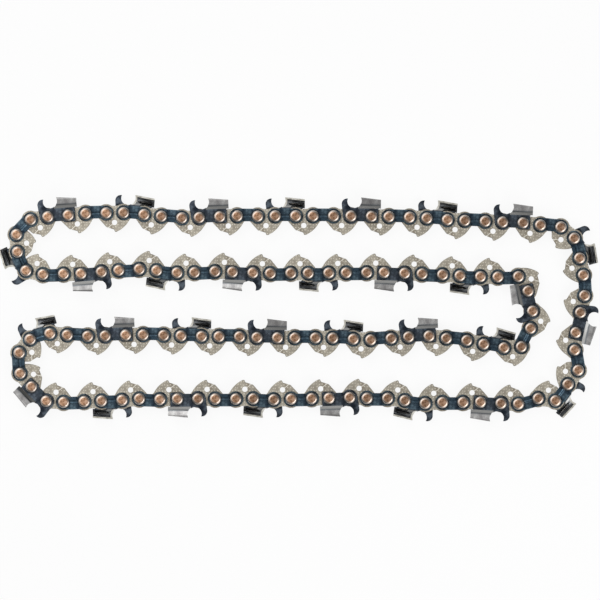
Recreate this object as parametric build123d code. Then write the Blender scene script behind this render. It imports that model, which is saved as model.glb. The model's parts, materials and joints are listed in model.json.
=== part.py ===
from build123d import *
import os
from math import acos, atan2, cos, degrees, hypot, radians, sin, sqrt, tan

import numpy as np

# A chainsaw chain that lies on its side as one closed loop, folded into an upper and a lower arm.
# +X runs along the arms, +Y across them and +Z up from the table, all in millimetres.
# A link has a frame of its own: x towards its rear rivet, y towards the cutting side, z across the chain.
# Left cutters are on the upper side of the lying chain, right cutters on its underside.

# Pitch and thicknesses
PITCH = 8.255                # half the length of one drive link and one side link
STRAP_SPAN = 8.94            # rivet to rivet in a side link
DRIVE_SPAN = 2 * PITCH - STRAP_SPAN
GAUGE = 1.47                 # drive link thickness, which runs in the bar groove
PLATE = 1.25                 # tie strap and cutter thickness
SIDE_PLAY = 0.05             # between a drive link and the plates beside it
EDGE_BREAK = 0.22            # rolled rim of the side plates
SIDE_IN = GAUGE / 2 + SIDE_PLAY
SIDE_OUT = SIDE_IN + PLATE
THROUGH = 30                 # depth of a cut that goes through the whole chain

# Rivets
HUB_RADIUS = 2.0             # bearing that the drive link turns on
SHANK_RADIUS = 1.5           # ends that hold the side plates
PIVOT_PLAY = 0.05            # drive link hole over the hub, on the radius
SHANK_FIT = 0.02             # side plate hole over the shank, on the radius
HEAD_RADIUS = 2.45
HEAD_FLAT_RADIUS = 1.4       # flat middle of the head; the rest is domed down to the rim
HEAD_HEIGHT = 0.75
HEAD_RIM = 0.22              # upright part of the head's edge

# Drive links
LOBE_RADIUS = 3.95
SADDLE_HEIGHT = 3.1          # dip between the two lobes, above the rivets
TOE_DEPTH = 6.05             # front corner of the tang, below the front rivet
CUSP_LEAD = 0.5              # step ahead of the tip, in front of the link's middle
CUSP_DEPTH = 7.15
TANG_DEPTH = 8.2
TIP_WIDTH = 0.6
TANG_BULGE = 0.66            # rise of the curved rear edge over its chord
TANG_REAR_ANGLE = 50         # where that edge leaves the rear lobe, below the rivet line
TANG_HOLE_RADIUS = 1.17
TANG_HOLE_DEPTH = 4.1
TANG_HOLE_LEAD = 0.2
TANG_EDGE_BREAK = 0.12
OIL_CHANNEL_WIDTH = 0.4      # from the hole to the front edge of the tang
OIL_CHANNEL_DEPTH = 0.12
OIL_CHANNEL_LENGTH = 4.2
OIL_CHANNEL_ANGLE = 218

# Tie straps
STRAP_END_RADIUS = 3.3
WAIST_DEPTH = 2.2            # hollow of the inner edge, below the rivet line
WAIST_FILLET = 1.2
GROOVE_WIDTH = 1.5           # round-bottomed, between the rivet heads
GROOVE_DEPTH = 0.3
GROOVE_END_GAP = 0.15        # from the groove's ends to the rivet heads

# Cutters: chassis
CHASSIS_TOE_RADIUS = 3.45
HEEL_REACH = 3.1             # behind the rear rivet
HEEL_FRONT = 2.4             # ahead of the rear rivet
HEEL_DEPTH = 2.85
HEEL_CORNER = 0.9
CHASSIS_WAIST_DEPTH = 2.15
CHASSIS_WAIST_FILLET = 0.8
CHASSIS_TOP = 3.4
GULLET_RADIUS = 2.9
GULLET_LEAD = 3.2            # ahead of the link's middle
GULLET_HEIGHT = 6.5

# Cutters: depth gauge
GAUGE_SHOULDER_LEAD = 4.1    # front edge, ahead of the front rivet
GAUGE_SHOULDER_HEIGHT = 5.2
GAUGE_SHOULDER_FILLET = 0.6
GAUGE_TIP_HEIGHT = 7.65
GAUGE_ROUNDING = 0.85        # rise of the rounded nose over its chord
GAUGE_LEAN_HEIGHT = 4.5      # where the outer face starts to lean back
GAUGE_LEAN_ANGLE = 9

# Cutters: tooth, bent outwards from the chassis and over the chain
TOOTH_REACH = 3.5            # outer face of the side plate, from the chain's middle plane
TOOTH_FRONT = -1.475
TOOTH_FRONT_HEIGHT = 8.4
TOOTH_REAR_HEIGHT = 7.3
TOOTH_REAR_REACH = 4.05      # behind the rear rivet
TOP_PLATE = 0.7
TOP_PLATE_WIDTH = 4.7        # from the outer face inwards
CRANK_FRONT_HEIGHT = 5.4     # top of the outward bend
CRANK_REAR_HEIGHT = 4.75
CRANK_ROOT = 0.2             # overlap of tooth and chassis
CORNER_RADIUS = 0.9          # working corner between side plate and top plate
BEND_RADIUS = 0.5
SIDE_GRIND = 0.1             # ground off the side plate to make it flat
FILE_RADIUS = 2.9            # filed cutting face
FILE_FRONT = 0.13            # rearmost point of the filing on the outer face
FILE_HEIGHT = 6.7
FILE_ANGLE = 30              # of the cutting edge across the top plate
RELIEF_BOTTOM = 1.7          # cut behind the heel that the next strap swings into
RELIEF_TOP = 5.4

# Places of the pivots that set the lay of the loop, picked by eye to half a millimetre, clockwise.
# The pivots between them are spread evenly and then settled to the true lengths of the links.
DRIVE_LINKS = 64
PIVOTS = 2 * DRIVE_LINKS
LAY = {
    # Left end of the upper arm and the top run
    0: (-117.5, 38.5), 1: (-110, 39.5), 3: (-93.5, 41), 5: (-77, 41.5), 8: (-51.5, 39),
    11: (-27, 40), 17: (22.5, 40), 20: (47.5, 39.5), 23: (72, 38), 26: (97, 37),
    # Right bend
    28: (113, 35), 29: (119, 30), 30: (121.5, 21.5), 31: (123, 14.5), 32: (123.5, 5.5),
    34: (120, -10.5), 35: (119.5, -18), 36: (120.5, -27), 37: (116.5, -33), 38: (110.5, -40),
    # Bottom run
    39: (103.5, -39.5), 40: (94.5, -41.5), 42: (78, -41), 45: (54.5, -41), 47: (38.5, -39.5),
    49: (22, -39), 52: (-3, -39.5), 58: (-53.5, -39.5), 61: (-77.5, -40), 64: (-103.5, -41),
    # Left end of the lower arm
    65: (-111, -41), 66: (-117, -34), 67: (-122, -28.5), 68: (-122.5, -19.5), 69: (-118, -13.5),
    # Lower return run
    70: (-109.5, -10.5), 71: (-101.5, -12), 73: (-85, -12.5), 74: (-76, -11), 76: (-59.5, -12),
    82: (-9.5, -13), 85: (14.5, -13), 87: (31, -14), 89: (47.5, -12.5), 90: (56, -12),
    92: (72, -14.5), 94: (88, -17),
    # Inner bend
    95: (95.5, -16.5), 96: (100, -9), 97: (101, -1.5), 98: (99, 7.5), 99: (94.5, 13.5),
    # Upper return run and back to the left end
    101: (78.5, 13.5), 103: (62, 14.5), 106: (36.5, 15.5), 112: (-13, 15), 115: (-37, 16),
    117: (-53.5, 15), 119: (-70, 17.5), 121: (-86.5, 15.5), 124: (-112, 14.5),
    125: (-119.5, 16), 126: (-123, 24.5), 127: (-123.5, 32),
}

# Stretches that swing as one, each from its first pivot to the first pivot of the next
STRETCHES = {
    "top_run_left": 1,
    "top_run_right": 12,
    "right_bend": 22,
    "bottom_run_right": 41,
    "bottom_run_left": 53,
    "lower_left_bend": 60,
    "lower_return_left": 73,
    "lower_return_right": 80,
    "inner_bend": 92,
    "upper_return_right": 101,
    "upper_return_left": 111,
    "upper_left_bend": 122,
}

# Stretches that stay parallel, as the two sides of an arm: first and last pivot of each
PARALLEL = (
    ((22, 12), (101, 111)),
    ((12, 1), (111, 122)),
    ((92, 80), (41, 53)),
    ((80, 73), (53, 60)),
)
SETTLE_STEPS = 12

# One side link in four has a left cutter, and the one halfway between two of them a right cutter
CUTTER_STEP = 4
LEFT_CUTTER = 0
RIGHT_CUTTER = 2


def span(pivot):
    """Length of the link that starts at a pivot: drive links start at the even ones."""
    return DRIVE_SPAN if pivot % 2 == 0 else STRAP_SPAN


def drawn_lay():
    """Rough places of all the pivots, at the scale that the length of the loop asks for."""
    named = sorted(LAY)
    xs = [LAY[pivot][0] for pivot in named]
    ys = [LAY[pivot][1] for pivot in named]
    every = np.arange(PIVOTS)
    rough = np.column_stack([
        np.interp(every, named, xs, period=PIVOTS),
        np.interp(every, named, ys, period=PIVOTS),
    ])
    steps = np.roll(rough, -1, axis=0) - rough
    drawn_length = np.hypot(steps[:, 0], steps[:, 1]).sum()
    return rough * DRIVE_LINKS * 2 * PITCH / drawn_length


def settled_lay():
    """Places of the pivots with every link at its true length and the arms' sides parallel."""
    places = drawn_lay()
    for _ in range(SETTLE_STEPS):
        slopes = np.zeros((PIVOTS + 2 * len(PARALLEL), 2 * PIVOTS))
        misses = np.zeros(len(slopes))
        for pivot in range(PIVOTS):
            following = (pivot + 1) % PIVOTS
            step = places[following] - places[pivot]
            length = hypot(*step)
            slopes[pivot, 2 * following:2 * following + 2] = step / length
            slopes[pivot, 2 * pivot:2 * pivot + 2] = -step / length
            misses[pivot] = span(pivot) - length
        for pair, (one_side, other_side) in enumerate(PARALLEL):
            for axis in (0, 1):
                row = PIVOTS + 2 * pair + axis
                for sign, (first, last) in ((1, one_side), (-1, other_side)):
                    slopes[row, 2 * last + axis] += sign
                    slopes[row, 2 * first + axis] -= sign
                misses[row] = -slopes[row] @ places.ravel()
        places = places + np.linalg.lstsq(slopes, misses, rcond=None)[0].reshape(PIVOTS, 2)
    return places


def around(centre_x, radius, angle):
    """Point on a circle about a rivet on the link's own x axis, at an angle in degrees."""
    return (centre_x + radius * cos(radians(angle)), radius * sin(radians(angle)))


def corners_at_height(outline, height):
    """Corners of an outline that lie at one height in the link's frame."""
    return outline.vertices().filter_by(lambda corner: abs(corner.Y - height) < SHANK_FIT)


def rivet_holes(half_span, radius):
    """Two round cutters at the rivets of a link."""
    hole = Cylinder(radius, THROUGH)
    return Pos(-half_span, 0) * hole + Pos(half_span, 0) * hole


def drive_link():
    """Drive link with two lobes, a hooked tang and its oil hole."""
    half = DRIVE_SPAN / 2
    toe_angle = -90 - degrees(acos(LOBE_RADIUS / TOE_DEPTH))
    front = around(-half, LOBE_RADIUS, toe_angle)
    toe = (-half, -TOE_DEPTH)
    cusp = (-CUSP_LEAD, -CUSP_DEPTH)
    tip_front = (0, -TANG_DEPTH)
    tip_rear = (TIP_WIDTH, -TANG_DEPTH)
    rear = around(half, LOBE_RADIUS, -TANG_REAR_ANGLE)
    tang = make_face([
        *Polyline((-half, 0), front, toe, cusp, tip_front, tip_rear).edges(),
        SagittaArc(tip_rear, rear, -TANG_BULGE),
        *Polyline(rear, (half, 0), (-half, 0)).edges(),
    ])
    saddle = make_face([
        *Polyline((-half, LOBE_RADIUS), (-half, 0), (half, 0), (half, LOBE_RADIUS)).edges(),
        ThreePointArc((half, LOBE_RADIUS), (0, SADDLE_HEIGHT), (-half, LOBE_RADIUS)),
    ])
    lobe = Circle(LOBE_RADIUS)
    outline = tang + saddle + Pos(-half, 0) * lobe + Pos(half, 0) * lobe
    link = extrude(outline, GAUGE / 2, both=True)
    faces = link.edges().group_by(Axis.Z)
    link = chamfer(faces[0] + faces[-1], TANG_EDGE_BREAK)
    link -= rivet_holes(half, HUB_RADIUS + PIVOT_PLAY)
    hole_place = Pos(-TANG_HOLE_LEAD, -TANG_HOLE_DEPTH)
    link -= hole_place * Cylinder(TANG_HOLE_RADIUS, THROUGH)
    channel = Box(OIL_CHANNEL_LENGTH, OIL_CHANNEL_WIDTH, 2 * OIL_CHANNEL_DEPTH,
                  align=(Align.MIN, Align.CENTER, Align.CENTER))
    for face in (-GAUGE / 2, GAUGE / 2):
        link -= hole_place * Rot(0, 0, OIL_CHANNEL_ANGLE) * Pos(0, 0, face) * channel
    return link


def tie_strap():
    """Tie strap of the upper side, with a pressed groove between its rivets."""
    half = STRAP_SPAN / 2
    end = Circle(STRAP_END_RADIUS)
    bridge = Pos(0, (STRAP_END_RADIUS - WAIST_DEPTH) / 2) * Rectangle(
        STRAP_SPAN, STRAP_END_RADIUS + WAIST_DEPTH)
    outline = Pos(-half, 0) * end + Pos(half, 0) * end + bridge
    outline = fillet(corners_at_height(outline, -WAIST_DEPTH), WAIST_FILLET)
    strap = extrude(outline, PLATE)
    strap = chamfer(strap.edges().group_by(Axis.Z)[-1], EDGE_BREAK)
    groove_length = STRAP_SPAN - 2 * (HEAD_RADIUS + GROOVE_END_GAP)
    groove_radius = (GROOVE_WIDTH**2 / 4 + GROOVE_DEPTH**2) / (2 * GROOVE_DEPTH)
    groove = Rot(0, 90, 0) * Cylinder(groove_radius, groove_length)
    strap -= Pos(0, 0, PLATE - GROOVE_DEPTH + groove_radius) * groove
    strap -= rivet_holes(half, SHANK_RADIUS + SHANK_FIT)
    return Pos(0, 0, SIDE_IN) * strap


def chassis_outline():
    """Outline of a cutter's flat part: toe, depth gauge, gullet, bridge and heel."""
    half = STRAP_SPAN / 2
    shoulder = (-half - GAUGE_SHOULDER_LEAD, GAUGE_SHOULDER_HEIGHT)
    shoulder_angle = atan2(GAUGE_SHOULDER_HEIGHT, -GAUGE_SHOULDER_LEAD)
    toe_angle = acos(CHASSIS_TOE_RADIUS / hypot(GAUGE_SHOULDER_LEAD, GAUGE_SHOULDER_HEIGHT))
    front = around(-half, CHASSIS_TOE_RADIUS, degrees(shoulder_angle + toe_angle))
    tip_rise = GAUGE_TIP_HEIGHT - GULLET_HEIGHT
    tip = (-GULLET_LEAD - sqrt(GULLET_RADIUS**2 - tip_rise**2), GAUGE_TIP_HEIGHT)
    gauge = make_face([
        *Polyline((-half, 0), front, shoulder).edges(),
        SagittaArc(shoulder, tip, GAUGE_ROUNDING),
        *Polyline(tip, (TOOTH_FRONT, GAUGE_TIP_HEIGHT), (TOOTH_FRONT, 0), (-half, 0)).edges(),
    ])
    toe = Pos(-half, 0) * Circle(CHASSIS_TOE_RADIUS)
    bridge = Pos(0, (CHASSIS_TOP - CHASSIS_WAIST_DEPTH) / 2) * Rectangle(
        STRAP_SPAN, CHASSIS_TOP + CHASSIS_WAIST_DEPTH)
    heel_length = HEEL_FRONT + HEEL_REACH
    heel_middle = half + HEEL_REACH - heel_length / 2
    heel = Pos(heel_middle, (CHASSIS_TOP - HEEL_DEPTH) / 2) * RectangleRounded(
        heel_length, CHASSIS_TOP + HEEL_DEPTH, HEEL_CORNER)
    gullet = Pos(-GULLET_LEAD, GULLET_HEIGHT) * Circle(GULLET_RADIUS)
    outline = toe + heel + bridge + gauge - gullet
    outline = fillet(corners_at_height(outline, -CHASSIS_WAIST_DEPTH), CHASSIS_WAIST_FILLET)
    return fillet(outline.vertices().sort_by_distance(shoulder)[0], GAUGE_SHOULDER_FILLET)


def chassis():
    """Flat part of a left cutter, with the depth gauge leaning back at its tip."""
    plate = extrude(chassis_outline(), PLATE)
    plate = chamfer(plate.edges().group_by(Axis.Z)[-1], EDGE_BREAK)
    lean = make_face(Polyline(
        (GAUGE_LEAN_HEIGHT, PLATE),
        (GAUGE_LEAN_HEIGHT + GAUGE_TIP_HEIGHT, PLATE - GAUGE_TIP_HEIGHT * tan(radians(GAUGE_LEAN_ANGLE))),
        (GAUGE_LEAN_HEIGHT + GAUGE_TIP_HEIGHT, PLATE),
        close=True))
    plate -= extrude(Plane.YZ.offset(-GULLET_LEAD) * lean, -STRAP_SPAN)
    return Pos(0, 0, SIDE_IN) * plate


def tooth_section(x, top, crank_top):
    """Section of the bent tooth across the chain at a place along the link."""
    inner_face = TOOTH_REACH - PLATE
    outer_face = TOOTH_REACH + SIDE_GRIND
    crank_angle = atan2(TOOTH_REACH - SIDE_OUT, crank_top - CHASSIS_TOP)
    lift = PLATE * tan(crank_angle / 2)
    inner_edge = TOOTH_REACH - TOP_PLATE_WIDTH
    root = CHASSIS_TOP - CRANK_ROOT
    corners = (
        (root, SIDE_OUT),
        (CHASSIS_TOP, SIDE_OUT),
        (crank_top, outer_face),
        (top, outer_face),
        (top, inner_edge),
        (top - TOP_PLATE, inner_edge),
        (top - TOP_PLATE, inner_face),
        (crank_top + lift, inner_face),
        (CHASSIS_TOP + lift, SIDE_IN),
        (root, SIDE_IN),
    )
    face = make_face(Polyline(*corners, close=True))

    def at(*numbers):
        return [face.vertices().sort_by_distance(corners[number])[0] for number in numbers]

    working_corner = at(3)
    bends = at(2, 6, 7)
    face = fillet(working_corner, CORNER_RADIUS)
    face = fillet([face.vertices().sort_by_distance(bend)[0] for bend in bends], BEND_RADIUS)
    return Plane.YZ.offset(x) * face


def left_cutter():
    """Cutter of the upper side: chassis, depth gauge and bent tooth in one piece."""
    half = STRAP_SPAN / 2
    rear_x = half + TOOTH_REAR_REACH
    tooth = loft([
        tooth_section(TOOTH_FRONT, TOOTH_FRONT_HEIGHT, CRANK_FRONT_HEIGHT),
        tooth_section(rear_x, TOOTH_REAR_HEIGHT, CRANK_REAR_HEIGHT),
    ], ruled=True)
    gullet = Pos(-GULLET_LEAD, GULLET_HEIGHT) * Cylinder(GULLET_RADIUS, THROUGH)
    file_reach = FILE_RADIUS / cos(radians(FILE_ANGLE))
    file_centre = (FILE_FRONT - file_reach, FILE_HEIGHT, TOOTH_REACH)
    file_axis = (sin(radians(FILE_ANGLE)), 0, -cos(radians(FILE_ANGLE)))
    filing = Plane(origin=file_centre, z_dir=file_axis) * Cylinder(FILE_RADIUS, THROUGH)
    relief = Pos(half + HEEL_REACH, RELIEF_BOTTOM, 0) * Box(
        TOOTH_REAR_REACH, RELIEF_TOP - RELIEF_BOTTOM, SIDE_OUT + SIDE_PLAY, align=Align.MIN)
    ground = Pos(0, 0, TOOTH_REACH) * Box(
        THROUGH, THROUGH, THROUGH, align=(Align.CENTER, Align.CENTER, Align.MIN))
    cutter = chassis() + (tooth - gullet - filing - relief - ground)
    cutter -= rivet_holes(half, SHANK_RADIUS + SHANK_FIT)
    return cutter


def rivet():
    """Rivet with a hub for the drive link and a peened head on each side."""
    head_top = SIDE_OUT + HEAD_HEIGHT
    rim = SIDE_OUT + HEAD_RIM
    upper = make_face([
        *Polyline((HEAD_FLAT_RADIUS, head_top), (0, head_top), (0, 0), (HUB_RADIUS, 0),
                  (HUB_RADIUS, SIDE_IN), (SHANK_RADIUS, SIDE_IN), (SHANK_RADIUS, SIDE_OUT),
                  (HEAD_RADIUS, SIDE_OUT), (HEAD_RADIUS, rim)).edges(),
        TangentArc((HEAD_FLAT_RADIUS, head_top), (HEAD_RADIUS, rim), tangent=(1, 0)),
    ])
    half = revolve(Plane.XZ * upper, Axis.Z)
    return half + mirror(half, about=Plane.XY)


def link_place(places, start):
    """Frame of the link that starts at a pivot, on the chain's middle plane."""
    first = places[start % PIVOTS]
    last = places[(start + 1) % PIVOTS]
    middle = (first + last) / 2
    heading = last - first
    return Plane(origin=(*middle, TOOTH_REACH), x_dir=(*heading, 0), z_dir=(0, 0, 1)).location


def loop_pieces(places):
    """All pieces of the loop in their places, in one list for each node."""
    drive = drive_link()
    upper_strap = tie_strap()
    lower_strap = mirror(upper_strap, about=Plane.XY)
    left = left_cutter()
    right = mirror(left, about=Plane.XY)
    pin = rivet()
    nodes = {}
    names = list(STRETCHES)
    for number, name in enumerate(names):
        following = STRETCHES[names[(number + 1) % len(names)]]
        last = following if number + 1 < len(names) else following + PIVOTS
        for start in range(STRETCHES[name], last):
            place = link_place(places, start)
            if start % 2 == 0:
                nodes.setdefault(name + "_drive_links", []).append(drive.moved(place))
                continue
            kind = start % PIVOTS // 2 % CUTTER_STEP
            pieces = (
                ("left_cutters", left) if kind == LEFT_CUTTER else ("tie_straps", upper_strap),
                ("right_cutters", right) if kind == RIGHT_CUTTER else ("tie_straps", lower_strap),
                ("rivets", Pos(-STRAP_SPAN / 2, 0) * pin),
                ("rivets", Pos(STRAP_SPAN / 2, 0) * pin),
            )
            for label, piece in pieces:
                nodes.setdefault(name + "_" + label, []).append(piece.moved(place))
    return nodes


def main():
    """Lay the chain, centre it over the origin and write one file for each node."""
    places = settled_lay()
    nodes = loop_pieces(places)
    whole = Compound([piece for pieces in nodes.values() for piece in pieces]).bounding_box()
    to_origin = Pos(-whole.center().X, -whole.center().Y)
    os.makedirs("parts", exist_ok=True)
    for name, pieces in nodes.items():
        export_step(Compound([piece.moved(to_origin) for piece in pieces]), f"parts/{name}.step")
    print(f"{len(nodes)} nodes, {sum(len(pieces) for pieces in nodes.values())} pieces, size {whole.size}")
    for name, pivot in STRETCHES.items():
        x, y = places[pivot] - (whole.center().X, whole.center().Y)
        print(f"{name} starts at pivot {pivot}: {x:.4f}, {y:.4f}, {TOOTH_REACH}")


main()
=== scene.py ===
import json
import logging
import math
import random
from dataclasses import dataclass, field
from enum import Enum

import bmesh
import bpy
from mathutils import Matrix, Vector


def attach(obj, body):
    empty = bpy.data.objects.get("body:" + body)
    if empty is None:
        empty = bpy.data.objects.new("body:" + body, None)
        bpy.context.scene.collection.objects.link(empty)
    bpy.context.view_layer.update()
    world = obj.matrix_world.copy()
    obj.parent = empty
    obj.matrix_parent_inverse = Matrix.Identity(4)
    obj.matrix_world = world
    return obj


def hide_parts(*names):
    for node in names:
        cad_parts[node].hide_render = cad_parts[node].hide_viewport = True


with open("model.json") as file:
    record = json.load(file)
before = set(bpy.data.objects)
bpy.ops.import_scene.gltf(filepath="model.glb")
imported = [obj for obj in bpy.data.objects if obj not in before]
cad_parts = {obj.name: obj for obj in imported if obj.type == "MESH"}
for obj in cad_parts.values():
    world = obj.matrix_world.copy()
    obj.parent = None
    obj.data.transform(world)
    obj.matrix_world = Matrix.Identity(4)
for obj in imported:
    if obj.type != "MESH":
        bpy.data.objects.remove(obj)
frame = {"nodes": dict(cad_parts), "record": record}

LOG = logging.getLogger("chain")
MM = 0.001

# Doubled vertices of the frame's meshes lie closer together than this
MERGE_DISTANCE = 2e-6

# Start of a cutter's tooth along the link and above the rivet line, in millimetres
TOOTH_FRONT = -1.475
TOOTH_ROOT = 3.42

# Start of the draw that gives each link its tone
TONE_SEED = 64

# Names of the attributes that carry a link's own coordinates, in millimetres, and its own tone
LINK_PLACE = "link_place"
LINK_TONE = "link_tone"

Colour = tuple[float, float, float]
Point = tuple[float, float, float]
Socket = bpy.types.NodeSocket


class PieceKind(Enum):
    """Kinds of pieces that a chain is riveted together from, in the order in which they are dressed."""

    DRIVE_LINKS = "drive_links"
    TIE_STRAPS = "tie_straps"
    LEFT_CUTTERS = "left_cutters"
    RIGHT_CUTTERS = "right_cutters"
    RIVETS = "rivets"


class CutterZone(Enum):
    """Differently finished surfaces of a cutter, in the order of its material slots."""

    CHASSIS = 0
    TOOTH = 1
    FILED_FACE = 2
    # Faces of the tooth turned inwards, down or back, tinted dark as painted shade.
    TOOTH_INSIDE = 3


def rgba(colour: Colour) -> tuple[float, float, float, float]:
    """Add full opacity to a colour."""
    return (*colour, 1.0)


class NodeSheet:
    """Short-hand for wiring the nodes of one material or world."""

    def __init__(self, owner: bpy.types.Material | bpy.types.World) -> None:
        """Start from the owner's own nodes.

        Args:
            owner: Material or world whose nodes are wired.
        """
        owner.use_nodes = True
        self.tree = owner.node_tree

    @property
    def surface(self) -> bpy.types.Node:
        """Surface shader of a material."""
        return self.tree.nodes["Principled BSDF"]

    def add(self, kind: str, **settings: object) -> bpy.types.Node:
        """Add a node.

        Args:
            kind: Blender's name for the node type.
            **settings: Properties to set on the node.

        Returns:
            The new node.
        """
        node = self.tree.nodes.new(kind)
        for name, value in settings.items():
            setattr(node, name, value)
        return node

    def wire(self, source: Socket, target: Socket) -> None:
        """Connect two sockets."""
        self.tree.links.new(source, target)

    def attribute(self, name: str) -> bpy.types.Node:
        """Add a node that reads a piece's attribute."""
        return self.add("ShaderNodeAttribute", attribute_name=name)

    def split(self, vector: Socket) -> tuple[Socket, Socket, Socket]:
        """Part a coordinate into its axes.

        Args:
            vector: Coordinate socket.

        Returns:
            Sockets of its X, Y and Z.
        """
        parts = self.add("ShaderNodeSeparateXYZ")
        self.wire(vector, parts.inputs["Vector"])
        return parts.outputs["X"], parts.outputs["Y"], parts.outputs["Z"]

    def scaled(self, vector: Socket, scale: Point) -> Socket:
        """Stretch a coordinate.

        Args:
            vector: Coordinate socket.
            scale: Factor on each axis.

        Returns:
            Socket of the stretched coordinate.
        """
        mapping = self.add("ShaderNodeMapping")
        mapping.inputs["Scale"].default_value = scale
        self.wire(vector, mapping.inputs["Vector"])
        return mapping.outputs["Vector"]

    def noise(self, vector: Socket, scale: float, detail: float = 3.0) -> Socket:
        """Add a noise pattern.

        Args:
            vector: Coordinate that it is drawn on.
            scale: Waves for each unit of the coordinate.
            detail: Finer layers added to it.

        Returns:
            Socket of its value, about 0.5 on average.
        """
        noise = self.add("ShaderNodeTexNoise")
        noise.inputs["Scale"].default_value = scale
        noise.inputs["Detail"].default_value = detail
        self.wire(vector, noise.inputs["Vector"])
        return noise.outputs["Fac"]

    def math(self, operation: str, first: Socket, second: Socket | float) -> Socket:
        """Combine two values.

        Args:
            operation: Blender's name for the sum.
            first: First value.
            second: Second value, a socket or a number.

        Returns:
            Socket of the result.
        """
        node = self.add("ShaderNodeMath", operation=operation)
        self.wire(first, node.inputs[0])
        if isinstance(second, float):
            node.inputs[1].default_value = second
        else:
            self.wire(second, node.inputs[1])
        return node.outputs["Value"]

    def absolute(self, value: Socket) -> Socket:
        """Drop the sign of a value."""
        return self.math("ABSOLUTE", value, 0.0)

    def length(self, vector: Socket) -> Socket:
        """Measure how far a coordinate lies from its origin."""
        node = self.add("ShaderNodeVectorMath", operation="LENGTH")
        self.wire(vector, node.inputs[0])
        return node.outputs["Value"]

    def ramp(self, value: Socket, stops: list[tuple[float, Colour]]) -> Socket:
        """Turn a value into a colour.

        Args:
            value: Value from 0 to 1.
            stops: Colours and their places, in rising order.

        Returns:
            Socket of the colour.
        """
        node = self.add("ShaderNodeValToRGB")
        elements = node.color_ramp.elements
        while len(elements) < len(stops):
            elements.new(0.5)
        for element, (place, colour) in zip(elements, stops):
            element.position = place
            element.color = rgba(colour)
        self.wire(value, node.inputs["Fac"])
        return node.outputs["Color"]

    def spread(self, value: Socket, low: float, high: float,
               to_low: float = 0.0, to_high: float = 1.0) -> Socket:
        """Map a stretch of values onto another, held at its ends.

        Args:
            value: Value to map.
            low: Start of the stretch.
            high: End of the stretch.
            to_low: Result at the start.
            to_high: Result at the end.

        Returns:
            Socket of the result.
        """
        node = self.add("ShaderNodeMapRange")
        node.inputs["From Min"].default_value = low
        node.inputs["From Max"].default_value = high
        node.inputs["To Min"].default_value = to_low
        node.inputs["To Max"].default_value = to_high
        self.wire(value, node.inputs["Value"])
        return node.outputs["Result"]

    def mixed(self, factor: Socket, first: Socket, second: Colour) -> Socket:
        """Lay one colour over another.

        Args:
            factor: Share of the second colour.
            first: Colour underneath.
            second: Colour laid over it.

        Returns:
            Socket of the mixed colour.
        """
        node = self.add("ShaderNodeMix", data_type="RGBA")
        self.wire(factor, node.inputs["Factor"])
        self.wire(first, node.inputs["A"])
        node.inputs["B"].default_value = rgba(second)
        return node.outputs["Result"]

    def bump(self, height: Socket, strength: float, distance: float) -> Socket:
        """Add relief to the surface.

        Args:
            height: Height pattern.
            strength: Share of the relief that shows.
            distance: Depth for a height of one, in metres.

        Returns:
            Socket of the surface normal.
        """
        node = self.add("ShaderNodeBump")
        node.inputs["Strength"].default_value = strength
        node.inputs["Distance"].default_value = distance
        self.wire(height, node.inputs["Height"])
        return node.outputs["Normal"]


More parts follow.
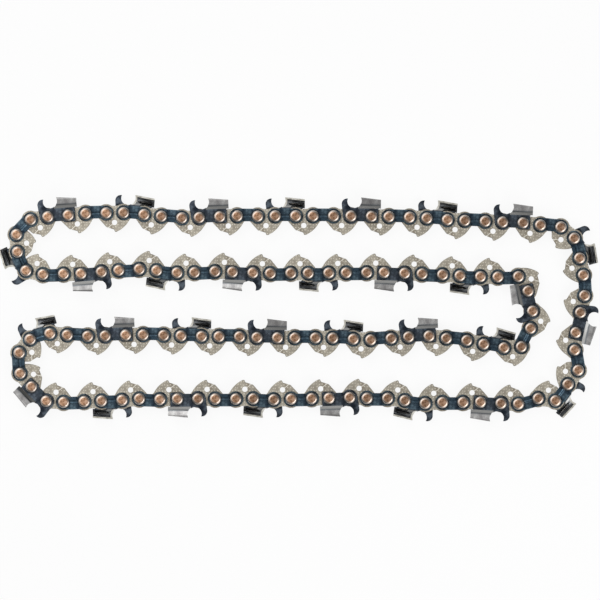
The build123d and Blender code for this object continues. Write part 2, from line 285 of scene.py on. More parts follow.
@dataclass(frozen=True)
class SteelFinish:
    """A metal finish with its own tints, wear and grain, drawn on each link's own coordinates.

    Attributes:
        name: Name of the material.
        shadow_tint: Colour of its darkest patches.
        main_tint: Colour of most of it.
        light_tint: Colour of its brightest patches.
        metal: How metallic the surface is.
        roughness: Least and greatest roughness.
        patch_scale: Patches for each millimetre.
        patch_stops: Values of the patchy pattern that the three tints stand at.
        wear_scale: Waves of wear for each millimetre.
        wear_range: Values of the wear pattern between which the roughness rises.
        grain: Grain lines for each millimetre along and across a link.
        grain_depth: Depth of the grain, in metres.
        tone_swing: How far single links differ in brightness.
    """

    name: str
    shadow_tint: Colour
    main_tint: Colour
    light_tint: Colour
    metal: float = 1.0
    roughness: tuple[float, float] = (0.25, 0.4)
    patch_scale: float = 0.35
    patch_stops: tuple[float, float, float] = (0.38, 0.5, 0.64)
    wear_scale: float = 1.1
    wear_range: tuple[float, float] = (0.3, 0.7)
    grain: tuple[float, float] = (0.4, 4.0)
    grain_depth: float = 4e-6
    tone_swing: float = 0.15

    def base(self, sheet: NodeSheet, place: Socket) -> Socket:
        """Wire the patchy base colour, with a tone of its own for each link.

        Args:
            sheet: Node sheet of the material.
            place: Socket of the link's own coordinates.

        Returns:
            Socket of the colour.
        """
        patches = sheet.noise(place, self.patch_scale)
        tints = (self.shadow_tint, self.main_tint, self.light_tint)
        tinted = sheet.ramp(patches, list(zip(self.patch_stops, tints)))
        tone = sheet.attribute(LINK_TONE).outputs["Fac"]
        light = sheet.spread(tone, 0.0, 1.0, 1.0 - self.tone_swing, 1.0)
        grey = sheet.add("ShaderNodeCombineColor")
        for channel in ("Red", "Green", "Blue"):
            sheet.wire(light, grey.inputs[channel])
        shaded = sheet.add("ShaderNodeMix", data_type="RGBA", blend_type="MULTIPLY")
        shaded.inputs["Factor"].default_value = 1.0
        sheet.wire(tinted, shaded.inputs["A"])
        sheet.wire(grey.outputs["Color"], shaded.inputs["B"])
        return shaded.outputs["Result"]

    def relief(self, sheet: NodeSheet, place: Socket) -> Socket:
        """Height of the fine grain.

        Args:
            sheet: Node sheet of the material.
            place: Socket of the link's own coordinates.

        Returns:
            Socket of the height.
        """
        stretched = sheet.scaled(place, (*self.grain, self.grain[1]))
        return sheet.noise(stretched, scale=1.0, detail=2.0)

    def colour(self, sheet: NodeSheet, place: Socket) -> Socket:
        """Colour of the finish: its base, unless a finish adds marks to it."""
        return self.base(sheet, place)

    def make(self) -> bpy.types.Material:
        """Build the material.

        Returns:
            The material, with its nodes wired.
        """
        material = bpy.data.materials.new(self.name)
        sheet = NodeSheet(material)
        place = sheet.attribute(LINK_PLACE).outputs["Vector"]
        surface = sheet.surface
        surface.inputs["Metallic"].default_value = self.metal
        sheet.wire(self.colour(sheet, place), surface.inputs["Base Color"])
        wear = sheet.noise(place, self.wear_scale)
        sheet.wire(sheet.spread(wear, *self.wear_range, *self.roughness), surface.inputs["Roughness"])
        grain = sheet.bump(self.relief(sheet, place), strength=1.0, distance=self.grain_depth)
        sheet.wire(grain, surface.inputs["Normal"])
        material.diffuse_color = rgba(self.main_tint)
        return material


@dataclass(frozen=True)
class StippledSteel(SteelFinish):
    """Bright steel of the drive links, with rows of tiny pressed dimples.

    Attributes:
        dimple_scale: Dimples for each millimetre.
        dimple_size: Radius of a dimple as a share of the space between two.
        dimple_core: Share of that radius within which the dimple shows in full.
        dimple_scatter: How far the dimples stray from their rows.
        dimple_tint: Colour in the dimples.
        dimple_share: How strongly the dimples show.
        dimple_depth: Depth of the dimples as a multiple of the grain.
        dimple_reach: Distance from the middle plane where the dimpled faces begin, in millimetres.
        channel_reach: Distance from the middle plane where the channel's bottom lies.
        channel_start: Middle of the oil hole that the channel leaves, in millimetres.
        channel_angle: Direction of the channel, in degrees.
        channel_hole: Radius of the oil hole.
        channel_half_width: Half the width of the channel.
        channel_core: Share of that width within which the channel shows in full.
        channel_tint: Colour of its bright bottom.
    """

    dimple_scale: float = 0.78
    dimple_size: float = 0.25
    dimple_core: float = 0.6
    dimple_scatter: float = 0.35
    dimple_tint: Colour = (0.8, 0.75, 0.64)
    dimple_share: float = 0.65
    dimple_depth: float = 3.0
    dimple_reach: float = 0.71
    channel_reach: float = 0.6
    channel_start: Point = (-0.2, -4.1, 0.0)
    channel_angle: float = 218.0
    channel_hole: float = 1.17
    channel_half_width: float = 0.2
    channel_core: float = 0.6
    channel_tint: Colour = (0.84, 0.81, 0.73)

    def on_faces(self, sheet: NodeSheet, place: Socket, reach: float) -> Socket:
        """Value that is 1 on the flat faces and 0 on the edges round them.

        Args:
            sheet: Node sheet of the material.
            place: Socket of the link's own coordinates.
            reach: Distance from the middle plane where the faces begin, in millimetres.

        Returns:
            Socket of the value.
        """
        _, _, height = sheet.split(place)
        return sheet.math("GREATER_THAN", sheet.absolute(height), reach)

    def dimples(self, sheet: NodeSheet, place: Socket) -> Socket:
        """Pattern of the dimples, 1 in their middle.

        Args:
            sheet: Node sheet of the material.
            place: Socket of the link's own coordinates.

        Returns:
            Socket of the pattern.
        """
        cells = sheet.add("ShaderNodeTexVoronoi", voronoi_dimensions="2D")
        cells.inputs["Scale"].default_value = self.dimple_scale
        cells.inputs["Randomness"].default_value = self.dimple_scatter
        sheet.wire(place, cells.inputs["Vector"])
        core = self.dimple_core * self.dimple_size
        pressed = sheet.spread(cells.outputs["Distance"], core, self.dimple_size, 1.0, 0.0)
        return sheet.math("MULTIPLY", pressed, self.on_faces(sheet, place, self.dimple_reach))

    def channel(self, sheet: NodeSheet, place: Socket) -> Socket:
        """Pattern of the oil channel, 1 along its middle.

        Args:
            sheet: Node sheet of the material.
            place: Socket of the link's own coordinates.

        Returns:
            Socket of the pattern.
        """
        moved = sheet.add("ShaderNodeMapping", vector_type="TEXTURE")
        moved.inputs["Location"].default_value = self.channel_start
        moved.inputs["Rotation"].default_value = (0.0, 0.0, math.radians(self.channel_angle))
        sheet.wire(place, moved.inputs["Vector"])
        along, across, _ = sheet.split(moved.outputs["Vector"])
        width = self.channel_half_width
        inside = sheet.spread(sheet.absolute(across), self.channel_core * width, width, 1.0, 0.0)
        past_hole = sheet.math("GREATER_THAN", along, self.channel_hole)
        whole = sheet.math("MULTIPLY", inside, past_hole)
        return sheet.math("MULTIPLY", whole, self.on_faces(sheet, place, self.channel_reach))

    def colour(self, sheet: NodeSheet, place: Socket) -> Socket:
        """Base colour with paler dimples and the bright channel.

        Args:
            sheet: Node sheet of the material.
            place: Socket of the link's own coordinates.

        Returns:
            Socket of the colour.
        """
        shown = sheet.math("MULTIPLY", self.dimples(sheet, place), self.dimple_share)
        dimpled = sheet.mixed(shown, self.base(sheet, place), self.dimple_tint)
        return sheet.mixed(self.channel(sheet, place), dimpled, self.channel_tint)

    def relief(self, sheet: NodeSheet, place: Socket) -> Socket:
        """Height of the grain with the dimples pressed into it.

        Args:
            sheet: Node sheet of the material.
            place: Socket of the link's own coordinates.

        Returns:
            Socket of the height.
        """
        sunk = sheet.math("MULTIPLY", self.dimples(sheet, place), -self.dimple_depth)
        return sheet.math("ADD", super().relief(sheet, place), sunk)


@dataclass(frozen=True)
class BluedPlate(SteelFinish):
    """Blue-black oxide with a painted reflection, a paler patch between the rivets, and painted shadow
    round the rivet heads.

    Attributes:
        painted_reflection_tint: Colour of the painted reflection, a paler patch between the rivets.
        reflection_half_length: Half its length along the link, in millimetres.
        reflection_core: Share of that length within which it shows in full.
        reflection_low: Its lower end across the link, in millimetres.
        reflection_high: Its upper end, where it has faded.
        half_span: Half the distance between the link's rivets.
        rivet_shadow_start: Radius of the rivet heads, where the painted shadow round them is darkest.
        rivet_shadow_end: Radius where that painted shadow has faded.
        rivet_shadow_tint: Colour of the painted shadow round the rivet heads.
    """

    painted_reflection_tint: Colour = (0.05, 0.085, 0.115)
    reflection_half_length: float = 1.3
    reflection_core: float = 0.45
    reflection_low: float = -2.6
    reflection_high: float = 1.4
    half_span: float = 4.47
    rivet_shadow_start: float = 2.5
    rivet_shadow_end: float = 3.15
    rivet_shadow_tint: Colour = (0.03, 0.036, 0.04)

    def colour(self, sheet: NodeSheet, place: Socket) -> Socket:
        """Base colour with the painted reflection between the rivets and the painted shadow round their
        heads.

        Args:
            sheet: Node sheet of the material.
            place: Socket of the link's own coordinates.

        Returns:
            Socket of the colour.
        """
        from_middle, across, _ = sheet.split(place)
        along = sheet.absolute(from_middle)
        # Paler patch between the rivets, low on the link: a painted reflection.
        core = self.reflection_core * self.reflection_half_length
        middle = sheet.spread(along, core, self.reflection_half_length, 1.0, 0.0)
        lower = sheet.spread(across, self.reflection_low, self.reflection_high, 1.0, 0.0)
        shown = sheet.math("MULTIPLY", middle, lower)
        with_reflection = sheet.mixed(shown, self.base(sheet, place), self.painted_reflection_tint)
        # Darker round each rivet head, fading outwards: a painted contact shadow.
        to_rivet = sheet.add("ShaderNodeCombineXYZ")
        sheet.wire(sheet.math("SUBTRACT", along, self.half_span), to_rivet.inputs["X"])
        sheet.wire(across, to_rivet.inputs["Y"])
        away = sheet.length(to_rivet.outputs["Vector"])
        rivet_shadow = sheet.spread(away, self.rivet_shadow_start, self.rivet_shadow_end, 1.0, 0.0)
        return sheet.mixed(rivet_shadow, with_reflection, self.rivet_shadow_tint)


@dataclass(frozen=True)
class PlatedTooth(SteelFinish):
    """Hard chrome on the outside of a tooth: a grey side plate, a painted highlight on the bend and a
    painted dark reflection on the crease above it.

    Attributes:
        bend_highlight_tint: Colour of the painted highlight on the bend that leads out from the chassis.
        crease_shade_tint: Colour of the painted dark reflection on the crease between bend and side
            plate.
        crease: Heights of the start, middle and end of the crease above the rivet line, in millimetres.
    """

    bend_highlight_tint: Colour = (0.4, 0.4, 0.39)
    crease_shade_tint: Colour = (0.13, 0.145, 0.16)
    crease: tuple[float, float, float] = (4.45, 4.85, 5.5)

    def colour(self, sheet: NodeSheet, place: Socket) -> Socket:
        """Base colour of the side plate, with the painted dark reflection on the crease and the painted
        highlight on the bend below it.

        Args:
            sheet: Node sheet of the material.
            place: Socket of the link's own coordinates.

        Returns:
            Socket of the colour.
        """
        _, height, _ = sheet.split(place)
        start, middle, end = self.crease
        # Painted dark reflection on the crease, then a painted highlight on the bend below it.
        crease_shade = sheet.spread(height, middle, end, 1.0, 0.0)
        bend = sheet.spread(height, start, middle, 1.0, 0.0)
        side = sheet.mixed(crease_shade, self.base(sheet, place), self.crease_shade_tint)
        return sheet.mixed(bend, side, self.bend_highlight_tint)


@dataclass(frozen=True)
class ShadedToothInside(SteelFinish):
    """Inside of a tooth, tinted dark as painted shade, with one paler line along it.

    Attributes:
        line_tint: Colour of the line.
        line_height: Its height from the rivet line, in millimetres.
        line_half_width: Half its width.
    """

    line_tint: Colour = (0.17, 0.18, 0.19)
    line_height: float = 6.0
    line_half_width: float = 0.35

    def colour(self, sheet: NodeSheet, place: Socket) -> Socket:
        """Base colour with the line.

        Args:
            sheet: Node sheet of the material.
            place: Socket of the link's own coordinates.

        Returns:
            Socket of the colour.
        """
        _, height, _ = sheet.split(place)
        away = sheet.absolute(sheet.math("SUBTRACT", height, self.line_height))
        line = sheet.spread(away, 0.0, self.line_half_width, 1.0, 0.0)
        return sheet.mixed(line, self.base(sheet, place), self.line_tint)


@dataclass(frozen=True)
class PeenedHead(SteelFinish):
    """Copper-toned rivet, worn to bare steel towards the rim of its peened head.

    Attributes:
        rim_tint: Colour at the rim.
        rim_start: Radius where the rim's colour begins, in millimetres.
        rim_full: Radius where it is full.
    """

    rim_tint: Colour = (0.58, 0.52, 0.47)
    rim_start: float = 1.5
    rim_full: float = 2.1

    def colour(self, sheet: NodeSheet, place: Socket) -> Socket:
        """Base colour with a bare rim.

        Args:
            sheet: Node sheet of the material.
            place: Socket of the rivet's own coordinates.

        Returns:
            Socket of the colour.
        """
        flat = sheet.add("ShaderNodeVectorMath", operation="MULTIPLY")
        flat.inputs[1].default_value = (1.0, 1.0, 0.0)
        sheet.wire(place, flat.inputs[0])
        radius = sheet.length(flat.outputs["Vector"])
        rim = sheet.spread(radius, self.rim_start, self.rim_full)
        return sheet.mixed(rim, self.base(sheet, place), self.rim_tint)


@dataclass
class Finishes:
    """All the finishes of the chain, made once and shared by its pieces."""

    drive_steel: bpy.types.Material = field(init=False)
    strap_blue: bpy.types.Material = field(init=False)
    chassis_blue: bpy.types.Material = field(init=False)
    tooth_chrome: bpy.types.Material = field(init=False)
    filed_steel: bpy.types.Material = field(init=False)
    shaded_tooth_inside: bpy.types.Material = field(init=False)
    rivet_copper: bpy.types.Material = field(init=False)

    def __post_init__(self) -> None:
        """Make the materials."""
        self.drive_steel = StippledSteel(
            "drive_link_steel", (0.34, 0.3, 0.24), (0.41, 0.375, 0.31), (0.51, 0.47, 0.39),
            roughness=(0.3, 0.46)).make()
        # Both blued plates carry a painted reflection between the rivets and painted shadow round the
        # rivet heads.
        self.strap_blue = BluedPlate(
            "blued_strap", (0.016, 0.026, 0.04), (0.045, 0.07, 0.094), (0.11, 0.165, 0.205),
            roughness=(0.18, 0.34)).make()
        self.chassis_blue = BluedPlate(
            "blued_chassis", (0.02, 0.026, 0.036), (0.05, 0.06, 0.076), (0.11, 0.135, 0.165),
            painted_reflection_tint=(0.06, 0.08, 0.1), roughness=(0.18, 0.34)).make()
        # The tooth's chrome carries a painted highlight on the bend and a painted dark reflection on the
        # crease.
        self.tooth_chrome = PlatedTooth(
            "chromed_tooth", (0.4, 0.39, 0.39), (0.52, 0.51, 0.505), (0.67, 0.67, 0.66),
            roughness=(0.1, 0.24), grain=(0.3, 6.0), grain_depth=2e-6, tone_swing=0.55).make()
        self.filed_steel = SteelFinish(
            "filed_steel", (0.42, 0.4, 0.34), (0.58, 0.56, 0.5), (0.72, 0.7, 0.64),
            roughness=(0.28, 0.42), grain=(5.0, 5.0)).make()
        # The tooth's inside is its plate tinted dark: painted shade.
        self.shaded_tooth_inside = ShadedToothInside(
            "shaded_tooth_inside", (0.05, 0.052, 0.055), (0.11, 0.113, 0.118), (0.17, 0.173, 0.178),
            roughness=(0.3, 0.45)).make()
        self.rivet_copper = PeenedHead(
            "rivet_copper", (0.31, 0.17, 0.1), (0.555, 0.325, 0.2), (0.7, 0.46, 0.33),
            roughness=(0.16, 0.26), patch_scale=0.9, tone_swing=0.35).make()

    def of_kind(self, kind: PieceKind) -> list[bpy.types.Material]:
        """Materials of one kind of piece, in the order of its slots.

        Args:
            kind: Kind of piece.

        Returns:
            Its materials; a cutter has one for each of its zones.
        """
        if kind is PieceKind.DRIVE_LINKS:
            return [self.drive_steel]
        if kind is PieceKind.TIE_STRAPS:
            return [self.strap_blue]
        if kind is PieceKind.RIVETS:
            return [self.rivet_copper]
        return [self.chassis_blue, self.tooth_chrome, self.filed_steel, self.shaded_tooth_inside]


@dataclass(frozen=True)
class LinkPlace:
    """Where a single piece lies: its middle and its own directions.

    Attributes:
        middle: Middle of its rivet line, or of a rivet, on the chain's middle plane.
        heading: Direction towards its rear rivet.
        outward: Direction towards the cutting side.
        side: 1 for a piece of the upper side or the middle, -1 for one of the underside.
    """

    middle: Vector
    heading: Vector
    outward: Vector
    side: float = 1.0

    def local(self, point: Vector) -> Vector:
        """Coordinates of a point in the piece's own frame, in millimetres."""
        offset = point - self.middle
        return Vector((offset.dot(self.heading), offset.dot(self.outward), offset.z * self.side)) / MM

    def turned(self, direction: Vector) -> Vector:
        """A direction in the piece's own frame."""
        return Vector((direction.dot(self.heading), direction.dot(self.outward), direction.z * self.side))


class LooseIsland:
    """One riveted piece within a node: the vertices that hang together."""

    def __init__(self, verts: list[bmesh.types.BMVert]) -> None:
        """Keep the vertices and their box.

        Args:
            verts: Vertices of the piece.
        """
        self.verts = verts
        self.low = Vector(map(min, zip(*(vert.co for vert in verts))))
        self.high = Vector(map(max, zip(*(vert.co for vert in verts))))

    @property
    def centre(self) -> Vector:
        """Middle of the piece's box."""
        return (self.low + self.high) / 2

    def distance(self, point: Vector) -> float:
        """Distance on the table from a point to the piece's nearest vertex."""
        return min((vert.co - point).xy.length for vert in self.verts)


def islands(mesh: bmesh.types.BMesh) -> list[LooseIsland]:
    """Split a mesh into its loose pieces.

    Args:
        mesh: Merged mesh of a whole node.

    Returns:
        Its pieces, in the order of their first vertices.
    """
    found: list[LooseIsland] = []
    seen: set[bmesh.types.BMVert] = set()
    for start in mesh.verts:
        if start in seen:
            continue
        seen.add(start)
        waiting = [start]
        verts = []
        while waiting:
            vert = waiting.pop()
            verts.append(vert)
            for edge in vert.link_edges:
                other = edge.other_vert(vert)
                if other not in seen:
                    seen.add(other)
                    waiting.append(other)
        found.append(LooseIsland(verts))
    return found


def merged_copy(node: str) -> bmesh.types.BMesh:
    """Copy a node's mesh and merge its doubled vertices.

    Args:
        node: Name of the node.

    Returns:
        The merged copy.
    """
    mesh = bmesh.new()
    mesh.from_mesh(frame["nodes"][node].data)
    bmesh.ops.remove_doubles(mesh, verts=mesh.verts, dist=MERGE_DISTANCE)
    return mesh


@dataclass
class ChainLayout:
    """Rivet places and link directions, read from the frame.

    Attributes:
        middle_height: Height of the chain's middle plane.
        rivets: Middle of each rivet.
        drive_fronts: Numbers of the rivets at the front of a drive link.
    """

    middle_height: float = 0.0
    rivets: list[Vector] = field(default_factory=list)
    drive_fronts: set[int] = field(default_factory=set)

    def read_rivets(self, pieces: list[LooseIsland]) -> None:
        """Add the rivets of one node."""
        self.rivets.extend(piece.centre for piece in pieces)
        self.middle_height = self.rivets[0].z

    def pierced(self, piece: LooseIsland) -> tuple[int, int]:
        """Numbers of the two rivets that go through a link.

        Args:
            piece: Link.

        Returns:
            Both numbers, in no order.
        """
        reach = (piece.high - piece.low).length
        near = [number for number, rivet in enumerate(self.rivets)
                if (rivet - piece.centre).xy.length < reach]
        near.sort(key=lambda number: piece.distance(self.rivets[number]))
        return near[0], near[1]

    def drive_place(self, piece: LooseIsland) -> LinkPlace:
        """Place of a drive link, whose tang points inwards.

        Args:
            piece: Drive link.

        Returns:
            Its place; its front rivet is noted as well.
        """
        first, last = self.pierced(piece)
        middle = (self.rivets[first] + self.rivets[last]) / 2
        along = (self.rivets[last] - self.rivets[first]).normalized()
        across = Vector((-along.y, along.x, 0))
        reaches = [(vert.co - middle).dot(across) for vert in piece.verts]
        if max(reaches) > -min(reaches):
            first, last = last, first
            along, across = -along, -across
        self.drive_fronts.add(first)
        return LinkPlace(middle, along, across)

    def side_place(self, piece: LooseIsland) -> LinkPlace:
        """Place of a tie strap or cutter, whose rear rivet is the next drive link's front.

        Args:
            piece: Side link.

        Returns:
            Its place.
        """
        first, last = self.pierced(piece)
        if first in self.drive_fronts:
            first, last = last, first
        middle = (self.rivets[first] + self.rivets[last]) / 2
        along = (self.rivets[last] - self.rivets[first]).normalized()
        side = 1.0 if piece.centre.z > self.middle_height else -1.0
        return LinkPlace(middle, along, Vector((-along.y, along.x, 0)), side)

    def rivet_place(self, piece: LooseIsland) -> LinkPlace:
        """Place of a rivet."""
        return LinkPlace(piece.centre, Vector((1, 0, 0)), Vector((0, 1, 0)))

    def place(self, kind: PieceKind, piece: LooseIsland) -> LinkPlace:
        """Place of any piece.

        Args:
            kind: Kind of piece.
            piece: The piece.

        Returns:
            Its place.
        """
        if kind is PieceKind.DRIVE_LINKS:
            return self.drive_place(piece)
        if kind is PieceKind.RIVETS:
            return self.rivet_place(piece)
        return self.side_place(piece)


@dataclass
class CutterZones:
    """Surfaces that part the finishes of a cutter, in its own frame, in millimetres.

    Attributes:
        tooth_front: Start of the tooth along the link.
        tooth_bottom: Start of the tooth above the rivet line.
        chassis_face: Outer face of the chassis.
        plate_edge: Inner edge of the top plate.
        gullet: Middle of the round gullet, along the link and above the rivet line.
        gullet_radius: Its radius.
        file_middle: Point on the axis of the filed hollow.
        file_angle: Slant of that axis, in degrees.
        file_radius: Radius of the hollow.
        near: How close to a surface a corner lies on it.
        turn: Least slope of a face that counts as turned one way.
    """

    tooth_front: float = TOOTH_FRONT
    tooth_bottom: float = TOOTH_ROOT
    chassis_face: float = 2.035
    plate_edge: float = -1.2
    gullet: tuple[float, float] = (-3.2, 6.5)
    gullet_radius: float = 2.9
    file_middle: Point = (-3.2186, 6.7, 3.5)
    file_angle: float = 30.0
    file_radius: float = 2.9
    near: float = 0.03
    turn: float = 0.2

    def on_gullet(self, corner: Vector) -> bool:
        """Whether a corner lies on the gullet."""
        away = (corner.xy - Vector(self.gullet)).length
        return abs(away - self.gullet_radius) < self.near

    def on_filing(self, corner: Vector) -> bool:
        """Whether a corner lies on the filed hollow."""
        slant = math.radians(self.file_angle)
        axis = Vector((math.sin(slant), 0, -math.cos(slant)))
        away = (corner - Vector(self.file_middle)).cross(axis).length
        return abs(away - self.file_radius) < self.near

    def is_bare(self, corners: list[Vector]) -> bool:
        """Whether a face was cut or filed bright.

        Args:
            corners: Corners of the face.

        Returns:
            True for the filed hollow, the gullet under it and the edge of the top plate.
        """
        return (all(self.on_gullet(corner) for corner in corners)
                or all(self.on_filing(corner) for corner in corners)
                or all(abs(corner.z - self.plate_edge) < self.near for corner in corners))

    def of_face(self, corners: list[Vector], normal: Vector) -> CutterZone:
        """Zone of one face.

        Args:
            corners: Corners of the face in the cutter's frame.
            normal: Its direction in the same frame.

        Returns:
            The zone that it belongs to.
        """
        middle = sum(corners, Vector()) / len(corners)
        if middle.x < self.tooth_front or middle.y < self.tooth_bottom:
            return CutterZone.CHASSIS
        if self.is_bare(corners):
            return CutterZone.FILED_FACE
        if middle.z < self.chassis_face + self.near and normal.z > self.turn:
            return CutterZone.CHASSIS
        # Faces of the tooth that don't turn outwards take the dark inside finish: painted shade.
        outside = max(normal.z, normal.y, normal.x)
        return CutterZone.TOOTH if outside > self.turn else CutterZone.TOOTH_INSIDE


@dataclass
class ToothLean:
    """Lean of a tooth's side plate, whose foot stands further in than its working corner.

    Attributes:
        front: Start of the tooth along the link, in millimetres.
        root: Height above the rivet line where the tooth leaves the chassis.
        foot: Height of the side plate's foot.
        top: Height from which the plate has its full reach.
        angle: Lean of the plate, in degrees.
        inner: Reach from the middle plane at which the lean begins.
        outer: Reach from which it is full.
        heel: End of the chassis along the link, behind which the inside stays clear of the next strap.
        heel_reach: Reach up to which the inside stays as it is behind the heel.
    """

    front: float = TOOTH_FRONT
    root: float = TOOTH_ROOT
    foot: float = 4.75
    top: float = 7.2
    angle: float = 10.0
    inner: float = 0.8
    outer: float = 2.0
    heel: float = 7.5
    heel_reach: float = 2.3

    def shift(self, corner: Vector) -> float:
        """How far a corner of a cutter moves towards the chain's middle plane.

        Args:
            corner: Corner in the cutter's own frame, in millimetres.

        Returns:
            Its shift, in millimetres.
        """
        behind = corner.x > self.heel and corner.z < self.heel_reach
        if corner.x < self.front or behind or not self.root < corner.y < self.top:
            return 0.0
        share = min(1.0, max(0.0, (corner.z - self.inner) / (self.outer - self.inner)))
        rise = min(1.0, (corner.y - self.root) / (self.foot - self.root))
        return share * rise * (self.top - max(corner.y, self.foot)) * math.tan(math.radians(self.angle))

    def apply(self, piece: LooseIsland, place: LinkPlace) -> None:
        """Lean the tooth of one cutter.

        Args:
            piece: Cutter.
            place: Its place.
        """
        for vert in piece.verts:
            vert.co.z -= self.shift(place.local(vert.co)) * place.side * MM


@dataclass
class Dresser:
    """Dresses one node: a merged copy with link coordinates, tones and finishes.

    Attributes:
        layout: Places of the rivets and links.
        finishes: Materials to choose from.
        zones: Borders between the finishes of a cutter.
        lean: Lean of a cutter's tooth.
        sharp_angle: Angle past which an edge stays crisp, in degrees.
        tones: Source of each link's own tone.
    """

    layout: ChainLayout
    finishes: Finishes
    zones: CutterZones = field(default_factory=CutterZones)
    lean: ToothLean = field(default_factory=ToothLean)
    sharp_angle: float = 28.0
    tones: random.Random = field(default_factory=lambda: random.Random(TONE_SEED))

    def dress(self, body: str, node: str, kind: PieceKind) -> None:
        """Build and dress the piece that stands for one node.

        Args:
            body: Body that it rides on.
            node: Name of the node.
            kind: Kind of the pieces in it.
        """
        mesh = merged_copy(node)
        place_layer = mesh.verts.layers.float_vector.new(LINK_PLACE)
        tone_layer = mesh.verts.layers.float.new(LINK_TONE)
        pieces = islands(mesh)
        is_cutter = kind in (PieceKind.LEFT_CUTTERS, PieceKind.RIGHT_CUTTERS)
        for piece in pieces:
            place = self.layout.place(kind, piece)
            tone = self.tones.random()
            for vert in piece.verts:
                vert[place_layer] = place.local(vert.co)
                vert[tone_layer] = tone
            if is_cutter:
                self.zone_faces(piece, place)
                self.lean.apply(piece, place)
        mesh.normal_update()
        self.crease(mesh)
        data = bpy.data.meshes.new(node + "_finished")
        mesh.to_mesh(data)
        mesh.free()
        for material in self.finishes.of_kind(kind):
            data.materials.append(material)
        dressed = bpy.data.objects.new(node + "_finished", data)
        bpy.context.scene.collection.objects.link(dressed)
        flat_faces = dressed.modifiers.new("flat_faces", "WEIGHTED_NORMAL")
        flat_faces.mode = "FACE_AREA"
        flat_faces.keep_sharp = True
        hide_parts(node)
        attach(dressed, body)
        LOG.info("%s: %d pieces, %d faces", dressed.name, len(pieces), len(data.polygons))

    def zone_faces(self, piece: LooseIsland, place: LinkPlace) -> None:
        """Give each face of a cutter the finish of its zone.

        Args:
            piece: Cutter.
            place: Its place.
        """
        faces = {face for vert in piece.verts for face in vert.link_faces}
        for face in faces:
            corners = [place.local(vert.co) for vert in face.verts]
            face.material_index = self.zones.of_face(corners, place.turned(face.normal)).value

    def crease(self, mesh: bmesh.types.BMesh) -> None:
        """Shade a mesh smoothly, with crisp edges where it turns sharply.

        Args:
            mesh: Mesh to shade.
        """
        limit = math.radians(self.sharp_angle)
        for face in mesh.faces:
            face.smooth = True
        for edge in mesh.edges:
            edge.smooth = edge.is_manifold and edge.calc_face_angle() < limit


@dataclass
class Chain:
    """The whole loop: every node of every stretch, dressed.

    Attributes:
        bodies: Nodes of each stretch.
        slots: Material slot of each node; not used.
        layout: Places of the rivets and links.
    """

    bodies: dict[str, list[str]]
    slots: dict[str, str]
    layout: ChainLayout = field(default_factory=ChainLayout)

    @staticmethod
    def kind_of(node: str) -> PieceKind:
        """Kind of the pieces in a node, told by the end of its name."""
        return next(kind for kind in PieceKind if node.endswith(kind.value))

    def nodes_of(self, kind: PieceKind) -> list[tuple[str, str]]:
        """Nodes of one kind.

        Args:
            kind: Kind that is wanted.

        Returns:
            Body and node of each, in the order of the bodies.
        """
        return [(body, node) for body, nodes in self.bodies.items()
                for node in nodes if self.kind_of(node) is kind]

    def read_layout(self) -> None:
        """Find every rivet of the loop."""
        for _, node in self.nodes_of(PieceKind.RIVETS):
            mesh = merged_copy(node)
            self.layout.read_rivets(islands(mesh))
            mesh.free()
        LOG.info("layout: %d rivets", len(self.layout.rivets))

    def build(self) -> None:
        """Dress all the nodes, drive links first because they tell the chain's direction."""
        self.read_layout()
        dresser = Dresser(self.layout, Finishes())
        for kind in PieceKind:
            for body, node in self.nodes_of(kind):
                dresser.dress(body, node, kind)


@dataclass(frozen=True)
class Lamp:
    """A soft rectangular lamp, turned to a point on the table.

    Attributes:
        name: Name of the lamp.
        place: Where it hangs.
        aim: Point that it is turned to.
        size: Its width and height.
        power: Its power in watts.
        spread: Angle that its light fans out over, in degrees.
    """

    name: str
    place: Point
    aim: Point
    size: tuple[float, float]
    power: float
    spread: float = 180.0

    def hang(self) -> None:
        """Add the lamp to the scene, unseen by the camera."""
        light = bpy.data.lights.new(self.name, "AREA")
        light.shape = "RECTANGLE"
        light.size, light.size_y = self.size
        light.energy = self.power
        light.spread = math.radians(self.spread)
        lamp = bpy.data.objects.new(self.name, light)
        lamp.visible_camera = False
        lamp.location = self.place
        lamp.rotation_mode = "QUATERNION"
        lamp.rotation_quaternion = (Vector(self.aim) - Vector(self.place)).to_track_quat("-Z", "Y")
        bpy.context.scene.collection.objects.link(lamp)


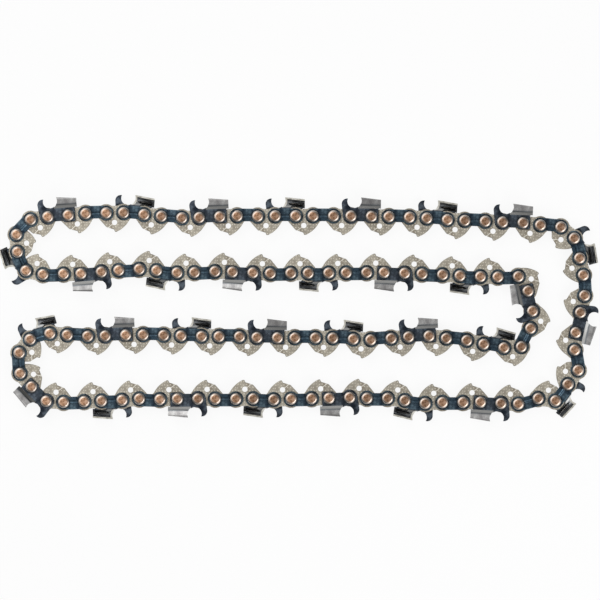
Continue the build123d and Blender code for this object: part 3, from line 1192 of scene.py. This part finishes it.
@dataclass
class Studio:
    """Pale floor, soft light and the camera that looks straight down.

    Attributes:
        view_width: Width of the picture on the table.
        view_centre: Point of the table in the middle of the picture.
        camera_height: Height of the camera.
        floor_size: Side of the floor.
        floor_gap: Gap between the floor and the chain.
        floor_grey: Brightness of the floor under its plain white.
        floor_roughness: Its roughness.
        floor_white: Share of the floor that shows as plain white.
        shade: Darkest and brightest light from the surroundings.
        shade_range: Sum of both rises where that light is brightest; as far below zero, it is darkest.
        shade_slope: Rise of the light along each axis.
        shade_corners: Rise of the light with X times Y; below zero it favours the lamps' two corners.
        lamps: Wide panels that light the chain, and two small lamps that glint on the rivets.
    """

    view_width: float = 0.26145
    view_centre: tuple[float, float] = (0.00065, 0.00357)
    camera_height: float = 3.0
    floor_size: float = 6.0
    floor_gap: float = 0.0002
    floor_grey: float = 0.85
    floor_roughness: float = 0.9
    floor_white: float = 0.9
    shade: tuple[float, float] = (0.15, 1.05)
    shade_range: float = 0.8
    shade_slope: Point = (-0.25, 0.3, 0.0)
    shade_corners: float = -2.2
    lamps: tuple[Lamp, ...] = (
        Lamp("overhead_panel", (-0.36, 0.12, 0.7), (0.0, 0.0, 0.0), (0.7, 0.7), 0.6),
        Lamp("key_light", (-0.46, 0.34, 0.6), (-0.2, 0.0, 0.0), (0.8, 0.84), 0.4, 70.0),
        Lamp("low_light", (0.48, -0.31, 0.48), (0.2, 0.0, 0.0), (0.8, 0.6), 0.46, 70.0),
        Lamp("upper_glint", (-0.165, 0.115, 0.18), (0.0, 0.0, 0.0), (0.07, 0.07), 0.02),
        Lamp("lower_glint", (0.213, -0.13, 0.19), (0.0, 0.0, 0.0), (0.07, 0.07), 0.048),
    )

    def build(self) -> None:
        """Set up the floor, the light and the camera."""
        self.floor()
        self.surroundings()
        for lamp in self.lamps:
            lamp.hang()
        self.camera()
        bpy.context.scene.view_settings.view_transform = "Standard"

    @staticmethod
    def seen_directly(sheet: NodeSheet) -> Socket:
        """Value that is 1 for what the camera, a mirror or glass sees.

        Args:
            sheet: Node sheet that the value is wired in.

        Returns:
            Socket of the value.
        """
        rays = sheet.add("ShaderNodeLightPath").outputs
        seen = rays["Is Camera Ray"]
        for ray in ("Is Glossy Ray", "Is Transmission Ray"):
            seen = sheet.math("MAXIMUM", seen, rays[ray])
        return seen

    def floor(self) -> None:
        """Make the pale floor, which shows white and keeps a soft shadow."""
        mesh = bmesh.new()
        bmesh.ops.create_grid(mesh, x_segments=1, y_segments=1, size=self.floor_size / 2)
        bmesh.ops.translate(mesh, verts=mesh.verts, vec=(0, 0, -self.floor_gap))
        data = bpy.data.meshes.new("floor")
        mesh.to_mesh(data)
        mesh.free()
        floor = bpy.data.objects.new("floor", data)
        bpy.context.scene.collection.objects.link(floor)
        material = bpy.data.materials.new("floor_white")
        sheet = NodeSheet(material)
        sheet.surface.inputs["Base Color"].default_value = rgba((self.floor_grey,) * 3)
        sheet.surface.inputs["Roughness"].default_value = self.floor_roughness
        glow = sheet.add("ShaderNodeEmission")
        mix = sheet.add("ShaderNodeMixShader")
        share = sheet.math("MULTIPLY", self.seen_directly(sheet), self.floor_white)
        sheet.wire(share, mix.inputs["Fac"])
        sheet.wire(sheet.surface.outputs["BSDF"], mix.inputs[1])
        sheet.wire(glow.outputs["Emission"], mix.inputs[2])
        sheet.wire(mix.outputs["Shader"], sheet.tree.nodes["Material Output"].inputs["Surface"])
        data.materials.append(material)

    def surroundings(self) -> None:
        """Light the room softly, brightest from the two corners that the lamps hang in."""
        world = bpy.data.worlds.new("studio")
        sheet = NodeSheet(world)
        direction = sheet.add("ShaderNodeTexCoord").outputs["Generated"]
        slope = sheet.add("ShaderNodeVectorMath", operation="DOT_PRODUCT")
        slope.inputs[1].default_value = self.shade_slope
        sheet.wire(direction, slope.inputs[0])
        x, y, _ = sheet.split(direction)
        corners = sheet.math("MULTIPLY", sheet.math("MULTIPLY", x, y), self.shade_corners)
        lit = sheet.math("ADD", corners, slope.outputs["Value"])
        background = sheet.tree.nodes["Background"]
        background.inputs["Color"].default_value = (1, 1, 1, 1)
        level = sheet.spread(lit, -self.shade_range, self.shade_range, *self.shade)
        sheet.wire(level, background.inputs["Strength"])
        bpy.context.scene.world = world

    def camera(self) -> None:
        """Hang the camera over the chain, with a long lens."""
        lens = bpy.data.cameras.new("camera")
        lens.sensor_fit = "HORIZONTAL"
        lens.lens = lens.sensor_width * self.camera_height / self.view_width
        camera = bpy.data.objects.new("camera", lens)
        camera.location = (*self.view_centre, self.camera_height)
        bpy.context.scene.collection.objects.link(camera)
        bpy.context.scene.camera = camera


def main() -> None:
    """Dress the chain and set it in the studio."""
    logging.basicConfig(level=logging.INFO, format="%(name)s: %(message)s")
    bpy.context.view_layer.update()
    record = frame["record"]
    slots = {part["node"]: part["material_slot"] for part in record["subparts"]}
    Chain(record["behaviour"]["bodies"], slots).build()
    Studio().build()


if __name__ == "__main__":
    main()
